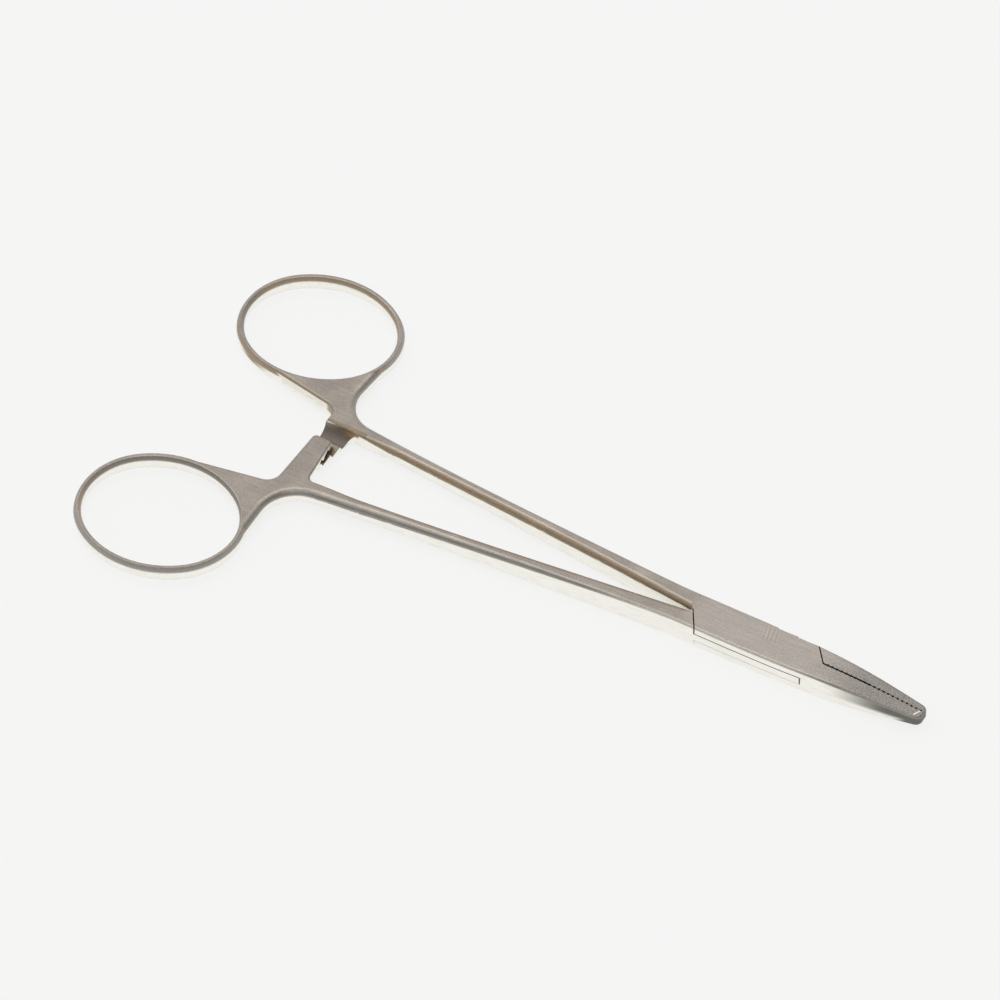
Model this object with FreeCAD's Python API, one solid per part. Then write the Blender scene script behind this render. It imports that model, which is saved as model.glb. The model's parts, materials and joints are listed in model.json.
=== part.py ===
import FreeCAD, Part
import math
import os

# A slim box-lock needle holder, closed and latched, lying flat.
# Lengths are millimetres. +X runs from the pivot to the jaw tips, +Y towards the
# finger ring of the box half, +Z up. The origin is on the pivot axis, level with
# the underside of the box. Both halves are drawn with the ring on +Y and the jaw
# on -Y, about the middle plane of the steel. The through half is then mirrored,
# and everything is raised by half the height of the box.

# Lengths along the instrument, measured from the pivot
tip_reach = 29.0
ring_centre_back = 96.4
shank_root_back = 14.0
crotch_back = 12.1

# Finger rings: clear opening, how much longer than wide it is, how much tighter its
# ends are bent than its sides, wire, and distance from the long axis
ring_hole_width = 22.5
ring_hole_stretch = 3.8
ring_end_tightness = 0.5
ring_wire_width = 1.35
ring_wire_flat = 0.45
ring_offset = 24.3
handle_height = 2.8

# Shanks: where their edges start at the neck, measured forward from the ring's centre,
# width and place of the centre line there, and the blend into the box. Both edges are
# a little bowed: their slopes at the ends are given as shares of the straight line's.
neck_ahead = 18.4
outer_neck_ahead = 21.4
shank_width_neck = 2.45
shank_offset_neck = 7.5
root_blend = 6.0
inner_root_steepness = 1.2
inner_neck_steepness = 0.75
outer_neck_steepness = 1.33

# Rounding along the outline. The outer side of the neck is nearly full round, and the
# inner side of the shank is rounded wide up to a short way from the ratchet arm.
edge_radius = 0.45
neck_side_flat = 0.5
inner_side_radius = 1.0
inner_fade_share = 0.12

# Neck between ring and shank: how far in from the ring's outer edge its sides
# start, how far round the ring they leave it, and its corner radii
neck_inset = 0.35
neck_rear_leave = 2.9
neck_front_leave = 0.6
neck_front_radius = 6.2
neck_rear_radius = 2.4
arm_root_radius = 1.2

# Ratchet arms: the upper one is on the through half, the lower one on the box half
arm_ahead = 12.2
arm_width_root = 4.7
arm_width_end = 3.4
arm_end_chamfer = 0.5
lower_arm_extra = 0.35
upper_arm_reach = 3.0
lower_arm_reach = 1.6
tooth_count = 3
tooth_pitch = 2.35
tooth_depth = 0.8
tooth_lean = 0.5
tooth_tip_gap = 0.08
tooth_mesh_gap = 0.1
lower_first_tooth = 3.5
step_radius = 2.45
step_overrun = 1.6

# Box lock
box_half_width = 3.55
box_height = 4.2
web_height = 1.4
slot_clearance = 0.05
plate_rear_back = 9.75
plate_front_reach = 8.4
slot_rear_back = 8.8
slot_front_reach = 8.8
jaw_root_reach = 11.2
lock_gap = 0.1
crotch_gap = 0.25

# Pin of the lock, riveted into countersinks and ground flush
pin_radius = 1.25
pin_running_clearance = 0.05
rivet_radius = 1.6
rivet_depth = 0.4

# Jaws
jaw_taper_start = -2.0
jaw_half_width_tip = 1.45
jaw_tip_radius = 1.1
jaw_height_tip = 1.8
jaw_fall_slope = 0.09
jaw_gap_root = 0.26
jaw_gap_tip = 0.04
parting_offset = 0.24
serration_pitch = 0.82
serration_depth = 0.18
serration_width = 0.42
serration_margin = 0.7

# Sizes that follow from the ones above
middle = box_height / 2
slot_height = web_height + 2 * slot_clearance
neck_back = ring_centre_back - neck_ahead
arm_back = ring_centre_back - arm_ahead
ring_mid_width = (ring_hole_width + ring_wire_width) / 2
ring_mid_length = ring_mid_width + ring_hole_stretch / 2
ring_end_radius = ring_mid_width - ring_end_tightness * ring_hole_stretch / 2
ring_end_shift = ring_mid_length - ring_end_radius
ring_side_radius = ((ring_end_shift ** 2 + ring_mid_width ** 2 - ring_end_radius ** 2)
                    / (2 * (ring_mid_width - ring_end_radius)))
ring_side_shift = ring_side_radius - ring_mid_width
ring_end_turn = math.degrees(math.atan2(ring_side_shift, ring_end_shift))
neck_clear = ring_wire_width / 2 - neck_inset
neck_side_radius = (handle_height - neck_side_flat) / 2
jaw_run = tip_reach - jaw_taper_start
jaw_drop = box_half_width - jaw_half_width_tip
jaw_side_radius = (jaw_run ** 2 + jaw_drop ** 2) / (2 * jaw_drop)
tooth_tip = -tooth_tip_gap / 2
tooth_root = tooth_tip - tooth_depth
tooth_shift = tooth_lean + tooth_mesh_gap
upper_first_tooth = tooth_count * tooth_pitch - lower_first_tooth - tooth_shift
far_out = 2 * (ring_offset + ring_hole_width)


def vec(x, y, z=0.0):
    return FreeCAD.Vector(x, y, z)


def crossing(p, p_dir, q, q_dir):
    """Point where two straight lines in plan cross."""
    det = p_dir.x * q_dir.y - p_dir.y * q_dir.x
    along = ((q.x - p.x) * q_dir.y - (q.y - p.y) * q_dir.x) / det
    return p + p_dir * along


def lines(points):
    """Straight edges from each point to the next."""
    return [Part.LineSegment(a, b).toShape() for a, b in zip(points, points[1:])]


def prism(edges, direction):
    """Solid swept from a closed flat outline along a straight direction."""
    return Part.Face(Part.Wire(edges)).extrude(direction)


def upright(edges, low, high):
    """Upright solid on an outline in plan, from one height to another."""
    solid = prism(edges, vec(0, 0, high - low))
    solid.translate(vec(0, 0, low))
    return solid


def bezier(poles):
    curve = Part.BezierCurve()
    curve.setPoles(poles)
    return curve.toShape()


def shank_inner(gap):
    """Inner edge of the shank from the crotch, its end, and the way it runs on."""
    root = vec(gap - crotch_back, crotch_gap / 2)
    neck = vec(-neck_back, shank_offset_neck - shank_width_neck / 2)
    third = (neck - root) / 3
    leave = vec(third.x, third.y * inner_root_steepness)
    way = vec(third.x, third.y * inner_neck_steepness)
    curve = Part.BezierCurve()
    curve.setPoles([root, root + leave, neck - way, neck])
    parts = []
    for first, last in ((0, 1 - inner_fade_share), (1 - inner_fade_share, 1)):
        part = curve.copy()
        part.segment(first, last)
        parts.append(part.toShape())
    return parts, neck, way


def shank_outer():
    """Outer edge of the shank from the box, its end, and the way it runs on."""
    root = vec(-shank_root_back, box_half_width)
    rise = (shank_offset_neck + shank_width_neck / 2 - box_half_width) / 3
    run = (outer_neck_ahead - ring_centre_back + shank_root_back) / 3
    way = vec(run, rise * outer_neck_steepness)
    neck = root + vec(run, rise) * 3
    return bezier([root, root - vec(root_blend, 0), neck - way, neck]), neck, way


def neck_rear():
    """Where the rear side of the neck leaves the ring, and which way it runs."""
    drop = math.sqrt((ring_side_radius + neck_clear) ** 2 - neck_rear_leave ** 2)
    place = vec(-ring_centre_back - neck_rear_leave, ring_offset + ring_side_shift - drop)
    return place, vec(drop, -neck_rear_leave)


def neck_front():
    """Where the front side of the neck leaves the ring, and which way it runs."""
    run = math.sqrt((ring_end_radius + neck_clear) ** 2 - neck_front_leave ** 2)
    place = vec(ring_end_shift + run - ring_centre_back, ring_offset - neck_front_leave)
    return place, vec(-neck_front_leave, -run)


def side_arc(start, end, sign):
    """Part of the arc that narrows the sides of box and jaws, between two stations."""
    points = []
    for x in (start, (start + end) / 2, end):
        drop = jaw_side_radius - math.sqrt(jaw_side_radius ** 2 - (x - jaw_taper_start) ** 2)
        points.append(vec(x, sign * (box_half_width - drop)))
    return Part.Arc(points[0], points[1], points[2]).toShape()


def meet_side(start, way):
    """Where a straight wall meets the narrowing side of the box on the ring's side."""
    way = way / way.Length
    away = start - vec(jaw_taper_start, box_half_width - jaw_side_radius)
    back = away.dot(way)
    along = math.sqrt(back ** 2 - away.dot(away) + jaw_side_radius ** 2) - back
    return start + way * along


def jaw_face(parting, gap):
    """Gripping face of the jaw in plan, from its root to its tip."""
    root = vec(jaw_root_reach - gap, parting - jaw_gap_root / 2)
    return root, vec(tip_reach, parting - jaw_gap_tip / 2)


def half_blank(arm_reach, arm_extra, rear_back, front_reach, gap, parting):
    """One half without its ring wire, at full height and with rounded edges.

    The lock is bounded by two slanting walls: the rear one runs from the crotch to
    the side opposite the ring, the front one from the ring's side to the jaw face.
    """
    inner_edges, inner, inner_way = shank_inner(gap)
    outer_edge, outer, outer_way = shank_outer()
    rear, rear_way = neck_rear()
    front, front_way = neck_front()
    arm_front_root = vec(-arm_back + arm_width_root + arm_extra, shank_offset_neck)
    arm_front_end = vec(-arm_back + arm_width_end + arm_extra, -arm_reach)
    arm_front_way = arm_front_root - arm_front_end
    arm_rear_end = vec(-arm_back, arm_end_chamfer - arm_reach)
    inner_corner = crossing(inner, inner_way, arm_front_end, arm_front_way)
    rear_corner = crossing(rear, rear_way, arm_rear_end, vec(0, 1))
    front_corner = crossing(front, front_way, outer, outer_way)

    ring_centre = vec(-ring_centre_back, ring_offset)
    crotch = vec(gap - crotch_back, crotch_gap / 2)
    rear_wall = vec(gap - rear_back, -box_half_width)
    face_root, face_tip = jaw_face(parting, gap)
    front_wall = meet_side(face_root, vec(front_reach - gap, box_half_width) - face_root)
    side_end = vec(tip_reach, -jaw_half_width_tip)

    edges = [side_arc(front_wall.x, jaw_taper_start, 1)]
    edges += lines([vec(jaw_taper_start, box_half_width), vec(-shank_root_back, box_half_width)])
    edges.append(outer_edge)
    edges += lines([outer, front_corner, front, ring_centre, rear,
                    rear_corner, arm_rear_end, vec(arm_end_chamfer - arm_back, -arm_reach),
                    arm_front_end, inner_corner, inner])
    edges += inner_edges
    edges += lines([crotch, rear_wall, vec(jaw_taper_start, -box_half_width)])
    edges.append(side_arc(jaw_taper_start, tip_reach, -1))
    edges += lines([side_end, face_tip, face_root, front_wall])
    blank = upright(Part.__sortEdges__(edges), -middle, middle)

    for corner, radius in ((front_corner, neck_front_radius), (rear_corner, neck_rear_radius),
                           (inner_corner, arm_root_radius), (side_end, jaw_tip_radius)):
        blank = blank.makeFillet(radius, upright_edges_at(blank, corner))
    blank = blank.cut(ring_plug(0, box_height))
    blank = blank.common(height_envelope())
    crisp = [(crotch * 2 - rear_wall, rear_wall), (face_root, face_tip), (face_root, front_wall),
             (ring_centre, front), (ring_centre, rear)]
    blank = fade_rounding(blank, crisp, outer_edge, neck_side_radius, edge_radius)
    blank = fade_rounding(blank, crisp, inner_edges[1], edge_radius,
                          inner_side_radius)
    rest = [edge for edge, point in outline_edges(blank, crisp)]
    return blank.makeFillet(edge_radius, rest)


def upright_edges_at(solid, place):
    """Upright edges of a prism that stand on one point of its outline."""
    found = []
    for edge in solid.Edges:
        start = edge.Vertexes[0].Point
        end = edge.Vertexes[-1].Point
        level = math.hypot(end.x - start.x, end.y - start.y) > 1e-6
        if not level and math.hypot(start.x - place.x, start.y - place.y) < 1e-4:
            found.append(edge)
    return found


def ring_arcs():
    """Arcs of the ring's middle line: centre, radius, first angle and sweep of each."""
    centre = vec(-ring_centre_back, ring_offset)
    arcs = []
    for turn, way in ((0, 1), (180, -1)):
        end = centre + vec(way * ring_end_shift, 0)
        side = centre - vec(0, way * ring_side_shift)
        arcs.append((end, ring_end_radius, turn - ring_end_turn, 2 * ring_end_turn))
        arcs.append((side, ring_side_radius, turn + ring_end_turn, 180 - 2 * ring_end_turn))
    return arcs


def ring_plug(growth, half_height):
    """Oval plug inside the middle line of the ring, or a little larger or smaller."""
    edges = [Part.makeCircle(radius + growth, centre, vec(0, 0, 1), start, start + sweep)
             for centre, radius, start, sweep in ring_arcs()]
    return upright(edges, -half_height, half_height)


def ring_wire():
    """Finger ring: a bar of oval section, flattened on top and underneath, bent to an oval."""
    half_width = ring_wire_width / 2
    half_height = handle_height / 2
    bulge_side = half_width - ring_wire_flat / 2
    bulge_radius = (bulge_side ** 2 + half_height ** 2) / (2 * bulge_side)
    pieces = []
    for centre, radius, start, sweep in ring_arcs():
        section = []
        for way in (-1, 1):
            top = vec(radius + way * ring_wire_flat / 2, 0, half_height)
            side = vec(radius + way * half_width, 0)
            low = vec(top.x, 0, -half_height)
            section.append((top, side, low))
        (inner_top, inner_side, inner_low), (outer_top, outer_side, outer_low) = section
        edges = [Part.Arc(inner_low, inner_side, inner_top).toShape(),
                 Part.LineSegment(inner_top, outer_top).toShape(),
                 Part.Arc(outer_top, outer_side, outer_low).toShape(),
                 Part.LineSegment(outer_low, inner_low).toShape()]
        piece = Part.Face(Part.Wire(edges)).revolve(vec(0, 0), vec(0, 0, 1), sweep)
        piece.rotate(vec(0, 0), vec(0, 0, 1), start)
        piece.translate(centre)
        pieces.append(piece)
    return pieces[0].fuse(pieces[1:]).removeSplitter()


def height_envelope():
    """Side view of the steel, drawn right across: thin handle, thick box, thin tip."""
    thin = handle_height / 2
    tip = jaw_height_tip / 2
    rear_end = -2 * ring_centre_back
    rise = Part.BSplineCurve()
    rise.interpolate(Points=[vec(-neck_back, 0, thin), vec(-shank_root_back, 0, middle)],
                     InitialTangent=vec(1, 0, 0), FinalTangent=vec(1, 0, 0))
    fall = Part.BSplineCurve()
    fall.interpolate(Points=[vec(jaw_root_reach, 0, middle), vec(tip_reach, 0, tip)],
                     InitialTangent=vec(1, 0, 0), FinalTangent=vec(1, 0, -jaw_fall_slope))
    top = lines([vec(rear_end, 0, -thin), vec(rear_end, 0, thin), vec(-neck_back, 0, thin)])
    top.append(rise.toShape())
    top += lines([vec(-shank_root_back, 0, middle), vec(jaw_root_reach, 0, middle)])
    top.append(fall.toShape())
    nose = lines([vec(tip_reach, 0, tip), vec(tip_reach, 0, -tip)])
    bottom = [edge.mirror(vec(0, 0), vec(0, 0, 1)) for edge in top[1:]]
    side = prism(Part.__sortEdges__(top + nose + bottom), vec(0, 2 * far_out, 0))
    side.translate(vec(0, -far_out, 0))
    return side


def on_line(point, start, end):
    """Whether a point in plan lies on the straight line between two others."""
    way = end - start
    away = vec(point.x, point.y) - start
    along = max(0.0, min(1.0, away.dot(way) / way.dot(way)))
    return (away - way * along).Length < 1e-3


def on_ring_middle(point):
    flat = vec(point.x, point.y)
    return any(abs((flat - centre).Length - radius) < 1e-3
               for centre, radius, start, sweep in ring_arcs())


def slope_of(face):
    """How much a face looks up or down: 0 for a wall, 1 for a level face."""
    u_low, u_high, v_low, v_high = face.ParameterRange
    return abs(face.normalAt((u_low + u_high) / 2, (v_low + v_high) / 2).z)


def outline_edges(solid, crisp):
    """Edges between walls and level faces, apart from the crisp ones, with their places."""
    chosen = []
    for edge in solid.Edges:
        faces = sorted(solid.ancestorsOfType(edge, Part.Face), key=slope_of)
        if slope_of(faces[0]) > 0.01 or slope_of(faces[-1]) < 0.9:
            continue
        point = edge.valueAt((edge.FirstParameter + edge.LastParameter) / 2)
        if on_ring_middle(point) or any(on_line(point, a, b) for a, b in crisp):
            continue
        chosen.append((edge, point))
    return chosen


def fade_rounding(solid, crisp, along, neck_radius, box_radius):
    """Round a run of the outline, the radius changing over the part along one line."""
    for side in (1, -1):
        found = []
        for edge, point in outline_edges(solid, crisp):
            foot = Part.Vertex(point.x, point.y, 0)
            if point.z * side > 0 and along.distToShape(foot)[0] < 1e-3:
                found.append(edge)
        first = found[0].valueAt(found[0].FirstParameter)
        last = found[0].valueAt(found[0].LastParameter)
        radii = (neck_radius, box_radius) if first.x < last.x else (box_radius, neck_radius)
        solid = solid.makeFillet(radii[0], radii[1], found)
    return solid


def ratchet_cutter(first_tooth):
    """What is milled off a lower arm: the teeth, then a hollow step up to the neck.

    Each tooth is steep towards its own ring and slopes down towards the arm's end.
    """
    rise = handle_height / 2 - tooth_root
    run = math.sqrt(2 * step_radius * rise - rise ** 2)
    half_turn = math.asin(run / step_radius) / 2
    foot = vec(0, first_tooth + tooth_shift, tooth_root)
    bulge = foot + vec(0, step_radius * math.sin(half_turn),
                       step_radius * (1 - math.cos(half_turn)))
    top = foot + vec(0, run, rise)
    points = [vec(0, first_tooth - tooth_count * tooth_pitch, tooth_root)]
    for number in reversed(range(tooth_count)):
        peak = first_tooth - number * tooth_pitch
        points += [vec(0, peak, tooth_tip), vec(0, peak + tooth_lean, tooth_root)]
    edges = lines(points + [foot])
    edges.append(Part.Arc(foot, bulge, top).toShape())
    edges += lines([top, vec(0, top.y, box_height), vec(0, points[0].y, box_height), points[0]])
    length = arm_width_root + 2 * step_overrun
    cutter = prism(edges, vec(length, 0, 0))
    cutter.translate(vec(-arm_back - step_overrun, 0, 0))
    return cutter


def serration_cutter(parting, gap):
    """Notches straight across the gripping face, from root to tip."""
    root, tip = jaw_face(parting, gap)
    way = (tip - root) / (tip - root).Length
    inward = vec(way.y, -way.x)
    room = (tip - root).Length - 2 * serration_margin
    count = int(room / serration_pitch) + 1
    notches = []
    for number in range(count):
        place = tip - way * (serration_margin + number * serration_pitch)
        across = way * serration_width
        lift = inward * (-serration_depth)
        points = [place + lift - across, place + lift + across,
                  place + inward * serration_depth]
        notches.append(upright(lines(points + points[:1]), -middle, middle))
    return Part.makeCompound(notches)


def slanted_zone(rear_back, front_reach, gap, low, high):
    """Room between the two slanting walls of the lock, widened by a gap."""
    crotch = vec(-crotch_back - gap, crotch_gap / 2)
    rear_wall = vec(-rear_back - gap, -box_half_width)
    root = vec(jaw_root_reach + gap, crotch_gap / 2)
    front_wall = vec(front_reach + gap, box_half_width)
    rear_way = rear_wall - crotch
    front_way = front_wall - root
    points = [crotch - rear_way * 2, crotch + rear_way * 2, root - front_way * 2,
              root + front_way * 2]
    return upright(lines(points + points[:1]), low, high)


def pin_solid(clearance):
    """Pin with a countersunk head at each end, flush with both faces of the box."""
    shaft = Part.makeCylinder(pin_radius + clearance, box_height, vec(0, 0, -middle))
    upper = Part.makeCone(pin_radius, rivet_radius, rivet_depth, vec(0, 0, middle - rivet_depth))
    lower = Part.makeCone(rivet_radius, pin_radius, rivet_depth, vec(0, 0, -middle))
    return shaft.fuse([upper, lower])


def make_box_half():
    """Far ring, far shank, lower ratchet arm, box with its slot, and near jaw."""
    half = half_blank(lower_arm_reach, lower_arm_extra, plate_rear_back, plate_front_reach, 0,
                      parting_offset)
    half = half.fuse(ring_wire())
    half = half.cut(ratchet_cutter(lower_first_tooth))
    half = half.cut(serration_cutter(parting_offset, 0))
    slot = slanted_zone(slot_rear_back, slot_front_reach, 0, -slot_height / 2, slot_height / 2)
    slot = slot.mirror(vec(0, 0), vec(0, 1, 0))
    half = half.cut(slot)
    return half.cut(pin_solid(0))


def make_through_half():
    """Near ring, near shank, upper ratchet arm, web in the slot, and far jaw."""
    half = half_blank(upper_arm_reach, 0, slot_rear_back, slot_front_reach, lock_gap,
                      -parting_offset)
    half = half.fuse(ring_wire())
    cutter = ratchet_cutter(upper_first_tooth).mirror(vec(0, 0), vec(0, 0, 1))
    half = half.cut(cutter)
    half = half.cut(serration_cutter(-parting_offset, lock_gap))
    half = half.mirror(vec(0, 0), vec(0, 1, 0))
    for low, high in ((web_height / 2, box_height), (-box_height, -web_height / 2)):
        half = half.cut(slanted_zone(plate_rear_back, plate_front_reach, lock_gap, low, high))
    bore = Part.makeCylinder(pin_radius + pin_running_clearance, box_height, vec(0, 0, -middle))
    return half.cut(bore)


def single_solid(shape):
    """The one solid of a shape, without edges that split a face in two."""
    return shape.removeSplitter().Solids[0]


os.makedirs("parts", exist_ok=True)
pieces = {
    "box_half": make_box_half(),
    "through_half": make_through_half(),
    "lock_pin": pin_solid(0),
}
for name, piece in pieces.items():
    piece = single_solid(piece)
    piece.translate(vec(0, 0, middle))
    piece.exportStep("parts/" + name + ".step")
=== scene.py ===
# %% [markdown]
# # A needle holder in satin steel
# A needle holder is the surgeon's pliers for a curved needle. It has two forged halves
# that cross in a box lock and turn on one riveted pin, a ratchet between the handles and
# two finger rings. Each half is one piece of steel from ring to jaw, so there is little
# to assemble here: the shapes come from the solids, and the lesson is about light and
# about the finish of ground and glass-blasted steel.

# %% Load the solids as a fixed frame
import json
import math
from types import SimpleNamespace
import bpy
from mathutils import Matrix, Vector

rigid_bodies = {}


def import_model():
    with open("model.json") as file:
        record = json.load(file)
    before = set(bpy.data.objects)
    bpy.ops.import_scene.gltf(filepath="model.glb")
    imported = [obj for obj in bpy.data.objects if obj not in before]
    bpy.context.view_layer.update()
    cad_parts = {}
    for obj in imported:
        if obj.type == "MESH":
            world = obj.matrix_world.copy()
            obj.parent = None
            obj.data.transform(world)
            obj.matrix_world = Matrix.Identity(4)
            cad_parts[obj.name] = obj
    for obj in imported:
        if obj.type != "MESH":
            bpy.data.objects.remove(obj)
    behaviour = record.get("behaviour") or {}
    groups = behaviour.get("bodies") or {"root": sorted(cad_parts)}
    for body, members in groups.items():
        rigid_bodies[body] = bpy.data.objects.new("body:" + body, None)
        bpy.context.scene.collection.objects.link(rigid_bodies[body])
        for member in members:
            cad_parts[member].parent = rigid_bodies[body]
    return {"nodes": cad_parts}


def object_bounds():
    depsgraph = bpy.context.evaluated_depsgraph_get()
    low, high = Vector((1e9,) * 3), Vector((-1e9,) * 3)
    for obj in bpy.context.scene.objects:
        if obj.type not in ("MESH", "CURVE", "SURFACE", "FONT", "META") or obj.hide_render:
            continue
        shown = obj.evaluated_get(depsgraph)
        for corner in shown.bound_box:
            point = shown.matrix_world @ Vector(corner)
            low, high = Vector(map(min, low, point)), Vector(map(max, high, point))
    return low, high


for left_over in list(bpy.data.objects):
    bpy.data.objects.remove(left_over)
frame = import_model()
nodes = frame["nodes"]
solid_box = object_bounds()
scene = bpy.context.scene
print("solids span", [[round(1000 * v, 1) for v in corner] for corner in solid_box], "mm")
for name, half in nodes.items():
    print(name, len(half.data.polygons), "faces, slots", [s.name for s in half.material_slots])

# %% [markdown]
# ## The camera
# The instrument was photographed from above with a long lens, so its far ring is hardly
# smaller than its near one. A camera could be aimed by eye, but the mirror symmetry of
# the two rings and shanks fixes its place well: only one viewpoint makes both halves the
# same shape. The sensor is 36 mm wide and the picture is square.

# %% Place the camera
camera_data = bpy.data.cameras.new("camera")
camera_data.sensor_width = 36
camera_data.lens = 181.97
camera_data.clip_start = 0.05
camera_data.clip_end = 20
camera = bpy.data.objects.new("camera", camera_data)
camera.location = (0.23528, -0.47621, 0.59313)
camera.rotation_euler = [math.radians(turn) for turn in (43.5237, 0.0480, 30.6349)]
scene.collection.objects.link(camera)
scene.camera = camera
print("camera stands", round(camera.location.length, 3), "m from the pivot")


# %% [markdown]
# ## Small helpers for node trees
# Every finish below is a node tree. Writing one by hand repeats the same three acts: add
# a node, set its values, join its inputs. A helper does all three in one line, which
# keeps a finish readable as a recipe. A value that is a socket is joined, and any other
# value is written into the input.

# %% Helpers for node trees
def add(tree, kind, inputs=None, **settings):
    """Adds a node, sets it up and fills its inputs with values or with joined sockets."""
    node = tree.nodes.new(kind)
    for key, value in settings.items():
        setattr(node, key, value)
    for key, value in (inputs or {}).items():
        if isinstance(value, bpy.types.NodeSocket):
            tree.links.new(value, node.inputs[key])
        else:
            node.inputs[key].default_value = value
    return node


def calculate(tree, operation, first, second=0.0, third=0.0):
    """One sum on numbers: the socket that holds the answer."""
    inputs = {0: first, 1: second, 2: third}
    return add(tree, "ShaderNodeMath", inputs, operation=operation).outputs[0]


def fade(tree, value, start, end):
    """Smooth change from 0 to 1 while value runs from start to end."""
    inputs = {"Value": value, "From Min": start, "From Max": end}
    return add(tree, "ShaderNodeMapRange", inputs,
               interpolation_type="SMOOTHSTEP").outputs["Result"]


def blend_colours(tree, share, first, second):
    """Colour that goes from first to second as share goes from 0 to 1."""
    node = add(tree, "ShaderNodeMix", data_type="RGBA")
    for socket, value in ((node.inputs[0], share), (node.inputs[6], first),
                          (node.inputs[7], second)):
        if isinstance(value, bpy.types.NodeSocket):
            tree.links.new(value, socket)
        elif hasattr(value, "__len__"):
            socket.default_value = (*value, 1)
        else:
            socket.default_value = value
    return node.outputs[2]


def noise(tree, place, fineness, detail=2.0, stretch=(1, 1, 1), turn=0.0):
    """Noise with a given number of grains per metre, stretched along an axis if asked."""
    inputs = {"Vector": place, "Rotation": (0, 0, turn), "Scale": stretch}
    mapped = add(tree, "ShaderNodeMapping", inputs).outputs["Vector"]
    inputs = {"Vector": mapped, "Scale": fineness, "Detail": detail}
    return add(tree, "ShaderNodeTexNoise", inputs).outputs["Fac"]


def new_material(name):
    """A material with an empty node tree, and the tree."""
    material = bpy.data.materials.new(name)
    material.use_nodes = True
    material.node_tree.nodes.clear()
    return material, material.node_tree


print("helpers ready:", ", ".join(f.__name__ for f in (add, calculate, fade, blend_colours, noise)))

# %% [markdown]
# ## Masks by place
# A finish and painted light are laid on by place: the painted shade on the rounding of an
# edge, a joint line, the grinding marks over the rivet. All of these are found from facts
# that ride with the metal, the place in the half's own coordinates and the direction that
# the surface faces there. A mask is then a short sum on those numbers, and it keeps its
# place when the hinge opens.

# %% Masks by place
MM = 0.001


def multiply(tree, *shares):
    """Product of several masks."""
    result = shares[0]
    for share in shares[1:]:
        result = calculate(tree, "MULTIPLY", result, share)
    return result


def band(tree, value, low, high, soft):
    """1 while a value lies between two limits, with soft ends."""
    below = calculate(tree, "SUBTRACT", high, value)
    return multiply(tree, fade(tree, value, low - soft, low + soft),
                    fade(tree, below, -soft, soft))


def measure(tree, place, start, direction):
    """How far a place lies from a start point along a direction."""
    away = add(tree, "ShaderNodeVectorMath", {0: place, 1: start}, operation="SUBTRACT")
    return add(tree, "ShaderNodeVectorMath", {0: away.outputs[0], 1: direction},
               operation="DOT_PRODUCT").outputs["Value"]


def line_share(tree, place, start, end, width, soft):
    """1 close to a straight line in plan, given in millimetres."""
    way = Vector((end[0] - start[0], end[1] - start[1], 0))
    length = way.length * MM
    way.normalize()
    origin = (start[0] * MM, start[1] * MM, 0)
    along = measure(tree, place, origin, tuple(way))
    across = measure(tree, place, origin, (-way.y, way.x, 0))
    near = band(tree, across, -width * MM / 2, width * MM / 2, soft * MM)
    return multiply(tree, near, band(tree, along, 0, length, soft * MM))


def spot_share(tree, place, centre, radii):
    """1 at the middle of an oval spot, fading to 0 at its rim, in millimetres."""
    away = add(tree, "ShaderNodeVectorMath", {0: place, 1: tuple(v * MM for v in centre)},
               operation="SUBTRACT")
    scaled = add(tree, "ShaderNodeVectorMath",
                 {0: away.outputs[0], 1: tuple(1 / (r * MM) for r in radii)},
                 operation="MULTIPLY")
    distance = add(tree, "ShaderNodeVectorMath", {0: scaled.outputs[0]}, operation="LENGTH")
    return fade(tree, distance.outputs["Value"], 1.0, 0.4)


print("masks ready, in steps of", MM, "m")

# %% [markdown]
# ## What the steel knows about each point
# Many masks ask the same questions: how far along the instrument is this, how steep is
# the surface, does it face the other half or the inside of a ring? Asking each question
# once and keeping the answers together makes the recipes below short. The handles get
# one answer more: a softened direction, which lets their crisp corners catch the light
# as a polished rounding does.

# %% Facts about the surface
RING_CENTRE = (-96.4, 24.3)
RING_REACH = 14.5
RING_FADE = 1.2
HANDLE_START = -72
CORNER_RADIUS = 0.3


def turned_to(tree, value):
    """1 for a surface that clearly faces a way, 0 for one that doesn't."""
    return fade(tree, value, 0.05, 0.35)


def ring_hole(tree, place, normal, side):
    """1 on the wall of a finger ring that looks into its opening."""
    centre = (RING_CENTRE[0] * MM, side * RING_CENTRE[1] * MM, 0)
    away = add(tree, "ShaderNodeVectorMath", {0: centre, 1: place}, operation="SUBTRACT")
    flat = add(tree, "ShaderNodeVectorMath", {0: away.outputs[0], 1: (1, 1, 0)},
               operation="MULTIPLY")
    unit = add(tree, "ShaderNodeVectorMath", {0: flat.outputs[0]}, operation="NORMALIZE")
    facing = add(tree, "ShaderNodeVectorMath", {0: unit.outputs[0], 1: normal},
                 operation="DOT_PRODUCT").outputs["Value"]
    distance = add(tree, "ShaderNodeVectorMath", {0: flat.outputs[0]}, operation="LENGTH")
    near = fade(tree, distance.outputs["Value"], RING_REACH * MM, (RING_REACH - RING_FADE) * MM)
    return multiply(tree, turned_to(tree, facing), near)


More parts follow.
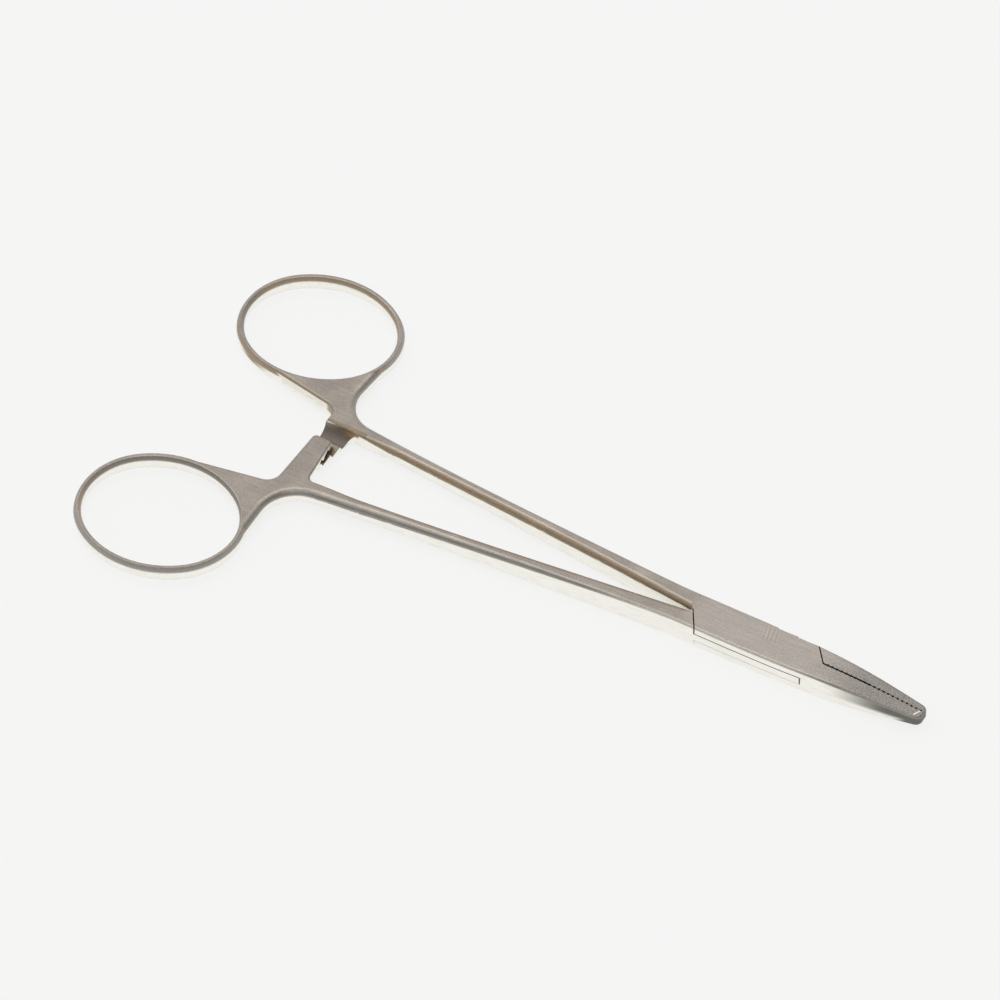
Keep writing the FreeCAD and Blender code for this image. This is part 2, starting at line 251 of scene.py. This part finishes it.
def read_surface(tree, side):
    """Everything that the masks of one half need to know about a point.

    side is 1 for the half whose ring is on +Y and -1 for the other one.
    """
    coordinates = add(tree, "ShaderNodeTexCoord")
    place, normal = coordinates.outputs["Object"], coordinates.outputs["Normal"]
    where = add(tree, "ShaderNodeSeparateXYZ", {0: place}).outputs
    wall = add(tree, "ShaderNodeSeparateXYZ", {0: normal}).outputs
    handle = fade(tree, where["X"], HANDLE_START * MM, (HANDLE_START - 4) * MM)
    soft_normal = add(tree, "ShaderNodeBevel",
                      {"Radius": multiply(tree, handle, CORNER_RADIUS * MM)},
                      samples=4).outputs[0]
    up = add(tree, "ShaderNodeSeparateXYZ", {0: soft_normal}).outputs["Z"]
    towards_other = calculate(tree, "MULTIPLY", wall["Y"], -side)
    shank = fade(tree, where["X"], -10 * MM, -13 * MM)
    return SimpleNamespace(
        place=place, normal=normal, x=where["X"], y=where["Y"], z=where["Z"],
        wall_x=wall["X"], wall_y=wall["Y"], soft_normal=soft_normal, up=up,
        level=calculate(tree, "ABSOLUTE", up), handle=handle,
        jaw=fade(tree, where["X"], 8 * MM, 20 * MM),
        between=multiply(tree, turned_to(tree, towards_other), shank),
        inside=ring_hole(tree, place, normal, side))


print("ring centre at", RING_CENTRE, "mm, handles begin at", HANDLE_START, "mm")

# %% [markdown]
# ## Tones of satin steel, with painted shade and reflection
# The real halves are ground along their length and then blasted with glass beads, which
# leaves a fine grey satin: no mirror, but a soft sheen that follows the light. The top
# faces are mid grey with slow changes of tone, and the jaws are duller from use. The
# rounded edges get a painted shade for the dark that they reflect, browner where they face
# inwards. The upright flanks get a painted reflection of the white table, the brightest
# tone of all. One colour per kind of face is enough, because the tilt of the surface tells
# top, rounding and flank apart.

# %% Top, rounding and flank
TOP_TONE = (0.51, 0.455, 0.40)
SHADE_TONE = (0.41, 0.37, 0.33)
BOX_TONE = (0.52, 0.475, 0.43)
JAW_TONE = (0.35, 0.33, 0.30)
# Painted shade on the roundings: lighter along the box, darker in the rings, brown between the
# shanks.
EDGE_SHADE_TONE = (0.34, 0.32, 0.295)
BOX_EDGE_LIT_TONE = (0.66, 0.63, 0.58)
RING_EDGE_SHADE_TONE = (0.27, 0.245, 0.215)
INNER_EDGE_SHADE_TONE = (0.36, 0.285, 0.21)
# Painted reflections: the white table on upright walls and under the handles, dark on the jaws'
# flanks.
TABLE_REFLECTION_TONE = (1.0, 0.975, 0.90)
JAW_DARK_REFLECTION_TONE = (0.17, 0.175, 0.155)


def top_tone(tree, steel):
    """Flat faces: cloudy on the shanks, lighter on the box, duller on the jaws."""
    cloud = noise(tree, steel.place, 140, detail=3)
    tone = blend_colours(tree, fade(tree, cloud, 0.3, 0.7), TOP_TONE, SHADE_TONE)
    tone = blend_colours(tree, fade(tree, steel.x, -14 * MM, -9 * MM), tone, BOX_TONE)
    return blend_colours(tree, steel.jaw, tone, JAW_TONE)


def edge_shade_tone(tree, steel):
    """Painted shade on roundings: lighter along the box, darker in the rings, brown between the
    shanks.
    """
    box = band(tree, steel.x, -24 * MM, 9 * MM, 6 * MM)
    tone = blend_colours(tree, box, EDGE_SHADE_TONE, BOX_EDGE_LIT_TONE)
    tone = blend_colours(tree, steel.inside, tone, RING_EDGE_SHADE_TONE)
    return blend_colours(tree, steel.between, tone, INNER_EDGE_SHADE_TONE)


def flank_reflection_tone(tree, steel):
    """Upright walls: a painted reflection of the white table, and a painted dark reflection on the
    upper part and the end of the jaws.
    """
    dark_reflection = multiply(tree, fade(tree, steel.x, 12 * MM, 24 * MM),
                    fade(tree, steel.z, 1.2 * MM, 2.1 * MM))
    dark_reflection = calculate(tree, "MAXIMUM", dark_reflection, fade(tree, steel.x, 24 * MM, 27 * MM))
    return blend_colours(tree, dark_reflection, TABLE_REFLECTION_TONE, JAW_DARK_REFLECTION_TONE)


def tone_by_tilt(tree, steel):
    """Top tone, painted shade on roundings or a painted reflection on flanks, by how far the
    surface tilts.
    """
    flattest = calculate(tree, "MULTIPLY_ADD", steel.between, 0.13, 0.84)
    rounded = band(tree, steel.up, 0.22, flattest, 0.06)
    tone = blend_colours(tree, fade(tree, steel.level, 0.7, 0.55),
                         top_tone(tree, steel), flank_reflection_tone(tree, steel))
    return blend_colours(tree, rounded, tone, edge_shade_tone(tree, steel))


print("tones of a top face:", TOP_TONE, "to", SHADE_TONE)

# %% [markdown]
# ## Handles: painted shade and reflection on the neck, the underside and the hollow
# Three places on the handles differ from the rest. The neck behind each ring is rounded
# broadly and gets a painted brown shade well down its flank. The lower half of a handle's
# section turns towards the table and gets a painted reflection of it. And behind the teeth
# of the ratchet a hollow is milled into the arm: it gets a painted shade, dark and warm,
# with a brown spot at its end.

# %% Handles
# Painted shade in the hollow of the ratchet, darker deeper down.
HOLLOW_SHADE_TONE = (0.20, 0.175, 0.15)
HOLLOW_UPPER_SHADE_TONE = (0.33, 0.27, 0.205)
# A brown spot at the end of the hollow.
BROWN_SPOT_TONE = (0.50, 0.32, 0.16)


def neck_share(tree, steel):
    """1 on the flank of the neck behind the ring, where a brown shade is painted."""
    behind = fade(tree, steel.wall_x, -0.1, -0.4)
    beside = band(tree, calculate(tree, "ABSOLUTE", steel.y), 7.7 * MM, 17 * MM, 0.5 * MM)
    outside = calculate(tree, "SUBTRACT", 1.0, steel.inside)
    return multiply(tree, steel.handle, behind, beside,
                    fade(tree, steel.x, -107 * MM, -103 * MM),
                    fade(tree, steel.z, 1.35 * MM, 2.1 * MM), outside,
                    fade(tree, steel.up, 0.7, 0.5))


def under_share(tree, steel):
    """1 on the lower half of a handle's section, where a reflection of the table is painted."""
    return multiply(tree, steel.handle, fade(tree, steel.up, 0.0, -0.15),
                    fade(tree, steel.z, 0.9 * MM, 1.2 * MM))


def hollow_share(tree, steel):
    """1 in the hollow behind the teeth of the lower ratchet arm."""
    return multiply(tree, band(tree, steel.x, -84.6 * MM, -76.5 * MM, 0.1 * MM),
                    band(tree, steel.y, 3.6 * MM, 7.1 * MM, 0.4 * MM),
                    fade(tree, steel.up, 0.2, 0.3))


def tone_on_handles(tree, steel, hollow, tone):
    """Adds the painted shade on the neck, the painted table reflection under the handle, the
    painted shade in the hollow and its brown spot to a tone.
    """
    tone = blend_colours(tree, neck_share(tree, steel), tone, INNER_EDGE_SHADE_TONE)
    tone = blend_colours(tree, under_share(tree, steel), tone, TABLE_REFLECTION_TONE)
    # Painted shade in the hollow, darker deeper down.
    deep = fade(tree, steel.z, 3.3 * MM, 1.8 * MM)
    deep_shade_tone = blend_colours(tree, deep, HOLLOW_UPPER_SHADE_TONE, HOLLOW_SHADE_TONE)
    tone = blend_colours(tree, hollow, tone, deep_shade_tone)
    brown_spot = spot_share(tree, steel.place, (-79.2, 6.2, 3.2), (2.0, 1.0, 1.2))
    return blend_colours(tree, multiply(tree, brown_spot, hollow), tone, BROWN_SPOT_TONE)


print("stain tone:", BROWN_SPOT_TONE)

# %% [markdown]
# ## Painted glints and joint lines
# Two spots are painted nearly white as highlights: a glint at the tip of one jaw and a
# streak along the inner rounding of the rings. The joints of the lock are the opposite,
# lines that no light leaves. The solids have their gaps there, 0.1 mm wide, but a gap of
# less than a pixel fades away in a picture, so the line is also drawn on the metal beside it.

# %% Glints and joint lines
# Painted highlights at the jaw tip and in the rings.
GLINT_TONE = (1.0, 0.98, 0.94)
JOINT_TONE = (0.02, 0.018, 0.015)
UPPER_SLOT = 2.85
JOINTS = [((-12.0, 0.0), (-9.8, -3.6), 0.2), ((11.2, 0.11), (8.55, 3.5), 0.2),
          ((11.2, 0.2), (19.5, 0.24), 0.3)]


def glint_share(tree, steel):
    """1 on the painted highlights: the glint at the jaw tip and the streak along the inner rounding
    of the rings.
    """
    tip_glint = multiply(tree, line_share(tree, steel.place, (27.7, -1.1), (28.3, 0.2), 0.2, 0.05),
                    fade(tree, steel.up, 0.7, 0.9))
    streak = multiply(tree, steel.inside, band(tree, steel.up, 0.62, 0.9, 0.06),
                      fade(tree, steel.wall_y, -0.1, -0.5))
    return calculate(tree, "MAXIMUM", tip_glint, streak)


def joint_share(tree, steel):
    """1 in the joint lines of the lock: seen from above, along the slot and at its end."""
    lines = [line_share(tree, steel.place, start, end, width, 0.03)
             for start, end, width in JOINTS]
    lines[0] = multiply(tree, lines[0], fade(tree, steel.z, 2.7 * MM, 2.8 * MM))
    sideways = fade(tree, calculate(tree, "ABSOLUTE", steel.wall_y), 0.6, 0.8)
    slot = multiply(tree, sideways, band(tree, steel.x, -9.9 * MM, 8.95 * MM, 0.03 * MM),
                    band(tree, steel.z, (UPPER_SLOT - 0.1) * MM, (UPPER_SLOT + 0.06) * MM,
                         0.03 * MM))
    slot_end = multiply(tree, sideways, band(tree, steel.x, 8.75 * MM, 9.0 * MM, 0.04 * MM),
                        band(tree, steel.z, 1.6 * MM, UPPER_SLOT * MM, 0.05 * MM))
    result = lines[0]
    for share in (*lines[1:], slot, slot_end):
        result = calculate(tree, "MAXIMUM", result, share)
    return result


print(len(JOINTS), "joint lines on top, slot at", UPPER_SLOT, "mm")

# %% [markdown]
# ## Grain
# A plain metal shader with one roughness looks like plastic film. What makes it steel is
# grain of a tenth of a millimetre from the glass beads and long faint strokes from the
# grinding belt, both in the colour, in the roughness and as a trace of relief. Over the
# rivet a few short stripes run across: there the head was ground flush by hand.

# %% Grain
GRAINS_PER_METRE = 5200
STROKES_PER_METRE = 4200
STROKE_STRETCH = (0.06, 1, 1)
RIVET_MARK_PITCH = 0.65


def rivet_marks(tree, place):
    """Faint stripes where the rivet was ground flush: a share from -1 to 1."""
    across = measure(tree, place, (0, 0, 0), (0.975, 0.22, 0))
    turns = calculate(tree, "MULTIPLY", across, 2 * math.pi / (RIVET_MARK_PITCH * MM))
    wave = calculate(tree, "SINE", turns)
    spot = spot_share(tree, place, (1.3, 1.4, 4.2), (2.2, 2.0, 0.6))
    return multiply(tree, wave, spot)


def about_zero(tree, value):
    """Noise, which runs from 0 to 1, moved to run about 0."""
    return calculate(tree, "SUBTRACT", value, 0.5)


def grain_brightness(tree, steel, grain, strokes):
    """Factor on the tone, close to 1: coarser on the jaws and absent on upright walls."""
    depth = calculate(tree, "MULTIPLY_ADD", steel.jaw, 0.45, 0.4)
    depth = multiply(tree, depth, fade(tree, steel.level, 0.2, 0.8))
    speck = calculate(tree, "MULTIPLY", about_zero(tree, grain), depth)
    factor = calculate(tree, "MULTIPLY_ADD", speck, 2.0, 1.0)
    factor = calculate(tree, "MULTIPLY_ADD", about_zero(tree, strokes), 0.45, factor)
    return calculate(tree, "MULTIPLY_ADD", rivet_marks(tree, steel.place), 0.12, factor)


def add_up(tree, start, *terms):
    """A number plus some sockets, each times its own factor."""
    result = start
    for socket, factor in terms:
        result = calculate(tree, "MULTIPLY_ADD", socket, factor, result)
    return result


print("grains of", round(1000 / GRAINS_PER_METRE, 2), "mm")

# %% [markdown]
# ## The two halves
# Now the recipe is short: read the surface, choose the tone by tilt with its painted shade
# and reflection, add the painted shade and reflection on the handles and the painted
# glints, multiply by the grain and draw the joints. The metal is bare, so one metallic
# shader does, and it is a little rougher on the jaws, in the hollow and in the joints. Each
# half gets its own material only because its strokes and its ring lie on its own side. The
# pin is ground flush with the box and takes the box's finish.

# %% Finish of the two halves
def satin_steel(name, side):
    """Glass-blasted steel of one half, with painted shade, reflections and highlights."""
    material, tree = new_material(name)
    steel = read_surface(tree, side)
    grain = noise(tree, steel.place, GRAINS_PER_METRE, detail=2)
    strokes = noise(tree, steel.place, STROKES_PER_METRE, detail=3, stretch=STROKE_STRETCH,
                    turn=0.02 * side)
    hollow = hollow_share(tree, steel)
    tone = tone_on_handles(tree, steel, hollow, tone_by_tilt(tree, steel))
    tone = blend_colours(tree, glint_share(tree, steel), tone, GLINT_TONE)
    grained = add(tree, "ShaderNodeVectorMath",
                  {0: tone, "Scale": grain_brightness(tree, steel, grain, strokes)},
                  operation="SCALE")
    joint = joint_share(tree, steel)
    colour = blend_colours(tree, joint, grained.outputs[0], JOINT_TONE)
    rough = add_up(tree, 0.24, (grain, 0.16), (strokes, 0.08), (steel.jaw, 0.10), (joint, 0.5),
                   (hollow, 0.12))
    bump = add(tree, "ShaderNodeBump",
               {"Height": add_up(tree, grain, (strokes, 0.6)), "Strength": 0.35,
                "Distance": 0.02 * MM, "Normal": steel.soft_normal})
    surface = add(tree, "ShaderNodeBsdfPrincipled",
                  {"Base Color": colour, "Metallic": 1.0, "Roughness": rough,
                   "Normal": bump.outputs["Normal"]})
    add(tree, "ShaderNodeOutputMaterial", {"Surface": surface.outputs[0]})
    return material


box_half_steel = satin_steel("box_half_satin_steel", 1)
through_half_steel = satin_steel("through_half_satin_steel", -1)
finishes = {"box_half": box_half_steel, "through_half": through_half_steel,
            "lock_pin": box_half_steel}
for name, finish in finishes.items():
    for slot in nodes[name].material_slots:
        slot.material = finish
print("finishes:", {name: finish.name for name, finish in finishes.items()})

# %% [markdown]
# ## Table
# The instrument lies on a light table: seen directly or in a reflection the table mostly
# glows by itself, and a smaller part of it is lit by the room. That part holds the shadow
# of the instrument, which stays as faint as over a lit glass plate. A plain white table
# under strong lamps could do too, but its shadow would be far too dark.

# %% Table
TABLE_TONE = (0.90, 0.90, 0.885)
GLOW_TONE = 0.955
GLOW_SHARE = 0.85
TABLE_REACH = 6.0
TABLE_DROP = 0.00002

table_material, tree = new_material("light_table")
ray = add(tree, "ShaderNodeLightPath")
seen = calculate(tree, "MAXIMUM", ray.outputs["Is Camera Ray"], ray.outputs["Is Glossy Ray"])
lit = add(tree, "ShaderNodeBsdfDiffuse", {"Color": (*TABLE_TONE, 1)})
glow = add(tree, "ShaderNodeEmission", {"Color": (GLOW_TONE, GLOW_TONE, GLOW_TONE, 1)})
surface = add(tree, "ShaderNodeMixShader", {0: multiply(tree, seen, GLOW_SHARE),
                                            1: lit.outputs[0], 2: glow.outputs[0]})
add(tree, "ShaderNodeOutputMaterial", {"Surface": surface.outputs[0]})
table_mesh = bpy.data.meshes.new("table")
table_top = solid_box[0][2] - TABLE_DROP
corners = [(TABLE_REACH * x, TABLE_REACH * y, table_top)
           for x, y in ((-1, -1), (1, -1), (1, 1), (-1, 1))]
table_mesh.from_pydata(corners, [], [(0, 1, 2, 3)])
table = bpy.data.objects.new("table", table_mesh)
table.data.materials.append(table_material)
scene.collection.objects.link(table)
print("table at", round(1000 * table_top, 2), "mm")

# %% [markdown]
# ## Room and lamps
# Steel shows what it reflects, so the studio matters more than the paint. A wide soft box
# hangs behind the instrument, the far wall is a mid grey, and the side with the camera is
# dim: so a top face reads as grey steel, the top edge of a rounding catches the soft box
# as a bright line, the rest of it goes dark, and an upright flank shows the white table.
# The dark roundings and the white flanks are painted into the steel's tones as well.
# Two suns, as wide as soft boxes, add a little modelling from the front and the left.

# %% Room and lamps
HORIZON_TONE = (0.92, 0.92, 0.91)
WALL_TONE = (0.62, 0.61, 0.60)
DIM_TONE = (0.36, 0.345, 0.32)
SOFT_BOX_TONE = (1.6, 1.6, 1.6)
AWAY_FROM_CAMERA = (-0.51, 0.86, 0)

room = bpy.data.worlds.new("studio")
scene.world = room
room.use_nodes = True
tree = room.node_tree
tree.nodes.clear()
direction = add(tree, "ShaderNodeTexCoord").outputs["Generated"]
height = add(tree, "ShaderNodeSeparateXYZ", {0: direction}).outputs["Z"]
behind = measure(tree, direction, (0, 0, 0), AWAY_FROM_CAMERA)
tone = blend_colours(tree, fade(tree, behind, -0.1, 0.35), DIM_TONE, WALL_TONE)
tone = blend_colours(tree, fade(tree, height, 0.35, 0.1), tone, HORIZON_TONE)
soft_box = multiply(tree, fade(tree, height, 0.78, 0.86), fade(tree, behind, 0.08, 0.22))
tone = blend_colours(tree, soft_box, tone, SOFT_BOX_TONE)
background = add(tree, "ShaderNodeBackground", {"Color": tone, "Strength": 1.0})
add(tree, "ShaderNodeOutputWorld", {"Surface": background.outputs[0]})


def soft_sun(name, azimuth, elevation, strength, width):
    """A wide sun that shines from a bearing and a height, in degrees."""
    lamp = bpy.data.lights.new(name, "SUN")
    lamp.energy = strength
    lamp.angle = math.radians(width)
    sun = bpy.data.objects.new(name, lamp)
    sun.rotation_euler = (math.radians(90 - elevation), 0, math.radians(azimuth))
    scene.collection.objects.link(sun)


soft_sun("front_box", 30, 55, 0.35, 50)
soft_sun("left_box", -60, 50, 0.3, 60)
scene.view_settings.view_transform = "Standard"
